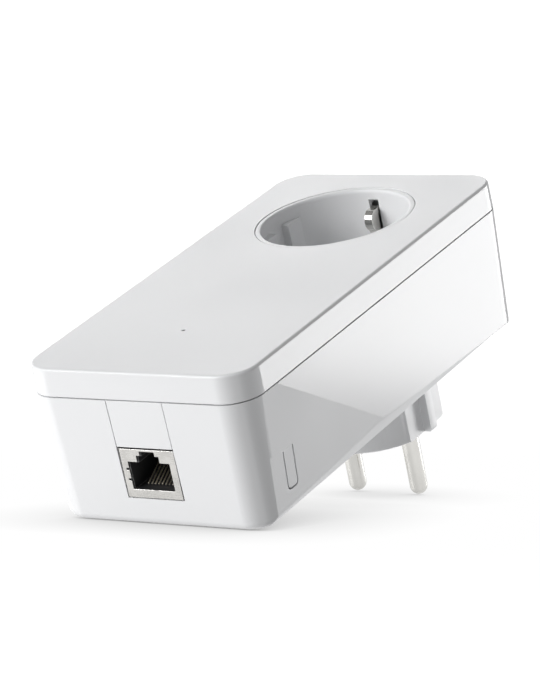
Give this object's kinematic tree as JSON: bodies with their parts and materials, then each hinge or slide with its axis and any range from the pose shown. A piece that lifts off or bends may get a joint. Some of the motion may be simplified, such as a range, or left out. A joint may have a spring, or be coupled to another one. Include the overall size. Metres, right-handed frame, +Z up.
{
  "type": "powerline adapter",
  "caption": "Plug-in powerline network adapter with a pass-through earthed socket, a network jack and a pairing button.",
  "frame": {"origin": "centre of the plug body's front face, on the common axis of the plug and the socket", "axes": "+X to the right seen from the front, +Y out of the back along the plug pins into the wall, +Z up, with the network jack at the bottom end"},
  "size_m": [0.0652, 0.0789, 0.131],
  "materials": {
    "white_satin": "fine satin texture",
    "white_gloss": "smooth, glossy moulded",
    "black_plastic": "matt moulded",
    "grey_plastic": "matt moulded",
    "clear_plastic": "clear, smooth",
    "insulating_film": "thin film",
    "nickel": "bright nickel plate",
    "brass": "plain rolled strip",
    "steel": "zinc plated",
    "aluminium": "extruded, matt",
    "circuit_board": "green solder mask",
    "component_black": "moulded epoxy",
    "component_yellow": "moulded box",
    "component_blue": "dipped lacquer",
    "copper_winding": "enamelled wire"
  },
  "bodies": {
    "housing": {"board_header": "black_plastic", "board_screw_left": "steel", "board_screw_right": "steel", "bridge_rectifier": "component_black", "bulk_capacitor": "component_black", "carrier_screw_left": "steel", "carrier_screw_right": "steel", "case_screw_lower_left": "steel", "case_screw_lower_right": "steel", "case_screw_upper_left": "steel", "case_screw_upper_right": "steel", "common_mode_choke": "copper_winding", "contact_carrier": "black_plastic", "coupling_transformer": "component_black", "crystal": "nickel", "earth_bridge": "brass", "front_cover": "white_satin", "fuse": "grey_plastic", "heat_sink": "aluminium", "insulating_sheet": "insulating_film", "jack_contacts": "brass", "jack_housing": "black_plastic", "jack_shield": "nickel", "lan_transformer": "component_black", "light_guide": "clear_plastic", "live_busbar": "brass", "live_receptacle": "brass", "main_board": "circuit_board", "mains_board": "circuit_board", "memory_chip": "component_black", "modem_chip": "component_black", "neutral_busbar": "brass", "neutral_receptacle": "brass", "optocoupler": "component_black", "output_capacitor": "component_black", "plug_body": "white_gloss", "plug_earth_strip_lower": "nickel", "plug_earth_strip_upper": "nickel", "plug_pin_live": "nickel", "plug_pin_neutral": "nickel", "port_filler_panel": "white_gloss", "power_transformer": "component_black", "rear_housing": "white_gloss", "shutter_spring": "steel", "socket_insert": "white_satin", "status_led": "clear_plastic", "switch_body": "black_plastic", "varistor": "component_blue", "x_capacitor": "component_yellow"},
    "pairing_button": {"pairing_button": "white_gloss"},
    "switch_plunger": {"switch_plunger": "grey_plastic"},
    "shutter": {"shutter": "white_satin"},
    "earth_clip_upper": {"earth_clip_upper": "nickel"},
    "earth_clip_lower": {"earth_clip_lower": "nickel"}
  },
  "joints": [
    {"name": "pairing_button_hinge", "type": "hinge", "parent": "housing", "child": "pairing_button", "pos_m": [0.0299, -0.0353, -0.08612], "axis": [0, 0, 1], "range_deg": [0, 3]},
    {"name": "switch_plunger_slide", "type": "slide", "parent": "housing", "child": "switch_plunger", "axis": [-1, 0, 0], "range_m": [0, 0.00035]},
    {"name": "shutter_turn", "type": "hinge", "parent": "housing", "child": "shutter", "pos_m": [0, -0.0389, 0], "axis": [0, 1, 0], "range_deg": [0, 42]},
    {"name": "earth_clip_upper_flex", "type": "hinge", "parent": "housing", "child": "earth_clip_upper", "pos_m": [0, -0.0278, 0.0195], "axis": [-1, 0, 0], "range_deg": [0, 2]},
    {"name": "earth_clip_lower_flex", "type": "hinge", "parent": "housing", "child": "earth_clip_lower", "pos_m": [0, -0.0278, -0.0195], "axis": [1, 0, 0], "range_deg": [0, 2]}
  ],
  "couplings": [
    {"joint": "switch_plunger_slide", "follows": "pairing_button_hinge", "m_per_rad": 0.0066}
  ]
}
